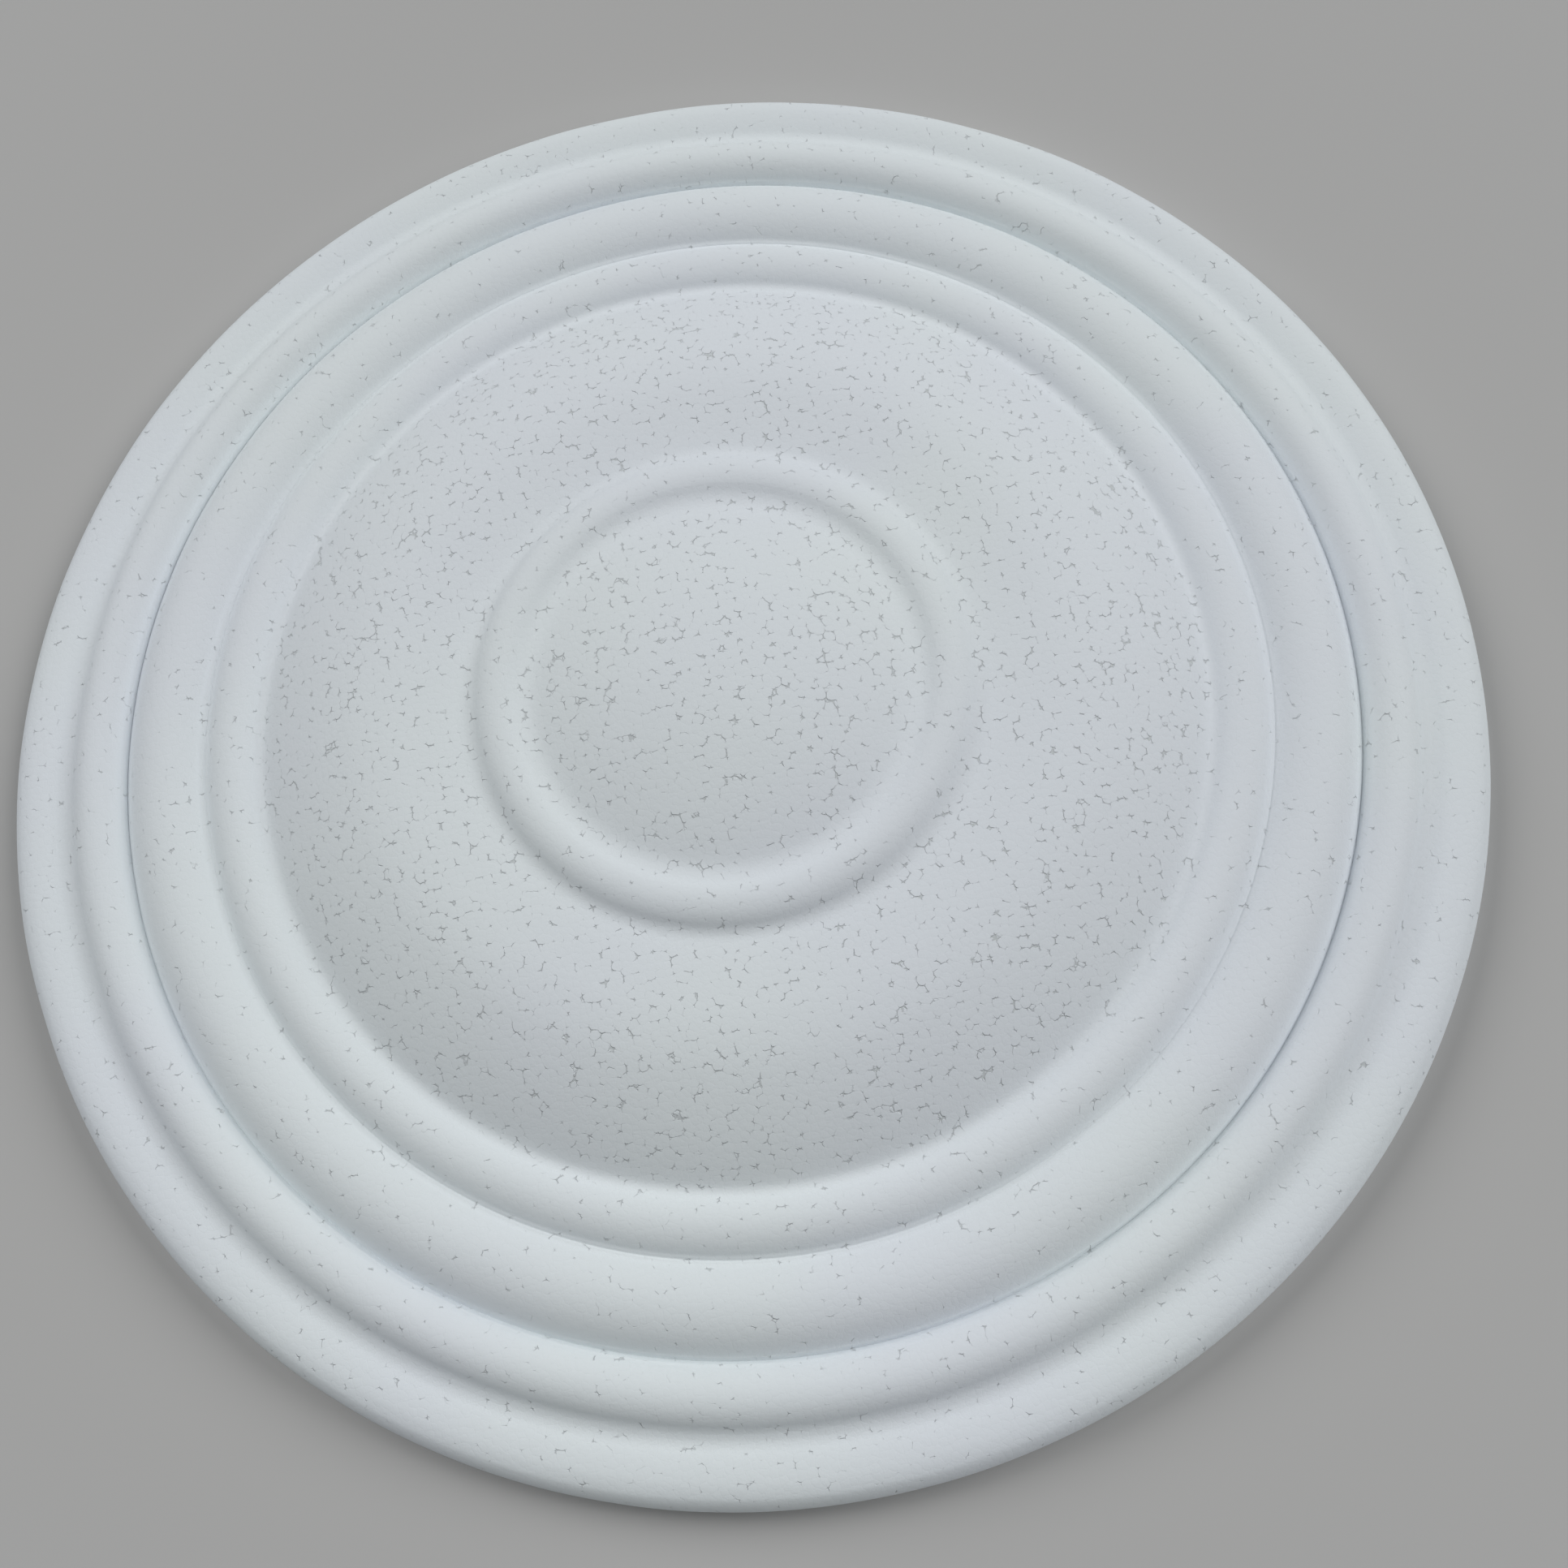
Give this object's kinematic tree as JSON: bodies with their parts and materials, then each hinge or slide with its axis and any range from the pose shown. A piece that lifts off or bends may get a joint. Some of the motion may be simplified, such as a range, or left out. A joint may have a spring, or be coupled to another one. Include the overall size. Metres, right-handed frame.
{
  "type": "ceiling rose",
  "caption": "Round moulded foam ceiling rose: a domed disc with a bead ring, a domed field and concentric rolls, hollow behind, with a flat glue face round its rim.",
  "frame": {"origin": "middle of the flat glue face on the back, on the disc's axis", "axes": "+Z along the disc's axis of symmetry, out of the decorated face; X and Y are any two directions across the disc"},
  "size_m": [0.4, 0.4, 0.04],
  "materials": {
    "moulded_foam": "matte"
  },
  "bodies": {
    "root": {"ceiling_rose": "moulded_foam"}
  },
  "joints": []
}
